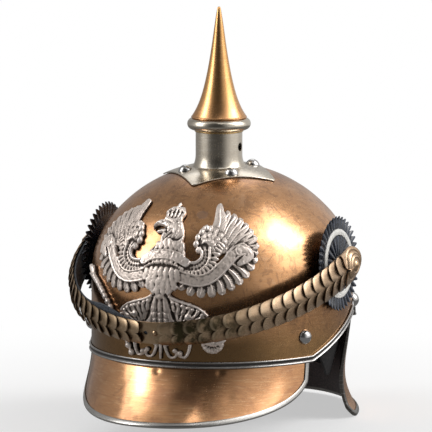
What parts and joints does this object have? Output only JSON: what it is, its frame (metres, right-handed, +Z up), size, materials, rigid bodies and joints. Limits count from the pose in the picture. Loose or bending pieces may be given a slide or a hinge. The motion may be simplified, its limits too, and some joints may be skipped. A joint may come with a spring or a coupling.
{
  "type": "cuirassier helmet",
  "caption": "Metal cavalry helmet with a tall spike on a flanged neck, flared visor and neck guard, an embossed eagle plate, side cockades and swinging chinscales.",
  "frame": {"origin": "bottom centre of the bounding box, below the helmet", "axes": "+Z up through the spike, -Y towards the visor, +X towards the wearer's left"},
  "size_m": [0.2424, 0.2998, 0.3341],
  "materials": {
    "tombak": "polished, with age spots",
    "nickel": "worn nickel silver",
    "silver": "silver, dark in the hollows",
    "brass": "polished, tarnished at the edges",
    "black_leather": "smooth",
    "dark_leather": "smooth",
    "brown_leather": "worn",
    "black_enamel": "satin lacquer",
    "white_enamel": "satin lacquer",
    "red_enamel": "satin lacquer"
  },
  "bodies": {
    "shell": {"skull": "tombak", "skull_trim": "nickel", "visor": "tombak", "visor_rim": "nickel", "visor_lining": "dark_leather", "neck_guard": "tombak", "neck_guard_rim": "nickel", "neck_guard_lining": "brown_leather", "neck_seam_band": "nickel", "shell_rivets": "nickel", "shell_rivet_washers": "nickel", "front_plate": "silver", "front_plate_posts": "silver", "front_plate_nuts": "nickel", "spike_neck": "nickel", "neck_rivets": "nickel", "neck_nuts": "nickel", "spike_bush": "brass", "liner_band": "black_leather", "liner_tongues": "black_leather", "cockade_rim_left": "black_enamel", "cockade_rim_right": "black_enamel", "cockade_ring_left": "white_enamel", "cockade_ring_right": "white_enamel", "cockade_centre_left": "black_enamel", "cockade_centre_right": "red_enamel", "boss_spacer_left": "brass", "boss_spacer_right": "brass", "boss_screw_left": "brass", "boss_screw_right": "brass", "boss_nut_left": "nickel", "boss_nut_right": "nickel"},
    "chinscale": {"end_boss_left": "brass", "end_boss_right": "brass", "scales_left": "brass", "scales_right": "brass", "strap_left": "dark_leather", "strap_right": "dark_leather", "clasp_plate": "brass", "clasp_stud": "brass"},
    "spike_ring": {"spike_ring": "nickel"},
    "spike": {"spike": "tombak", "spike_stud": "brass"}
  },
  "joints": [
    {"name": "chinscale_swing", "type": "hinge", "parent": "shell", "child": "chinscale", "pos_m": [0, -0.00625, 0.13388], "axis": [-1, 0, 0], "range_deg": [0, 85]},
    {"name": "spike_lift", "type": "slide", "parent": "shell", "child": "spike_ring", "axis": [0, 0, 1], "range_m": [0, 0.0101]},
    {"name": "spike_turn", "type": "hinge", "parent": "spike_ring", "child": "spike", "pos_m": [0, -0.00825, 0.24558], "axis": [0, 0, 1], "range_deg": [0, 1800]}
  ],
  "couplings": [
    {"joint": "spike_lift", "follows": "spike_turn", "m_per_rad": 0.00031831}
  ]
}
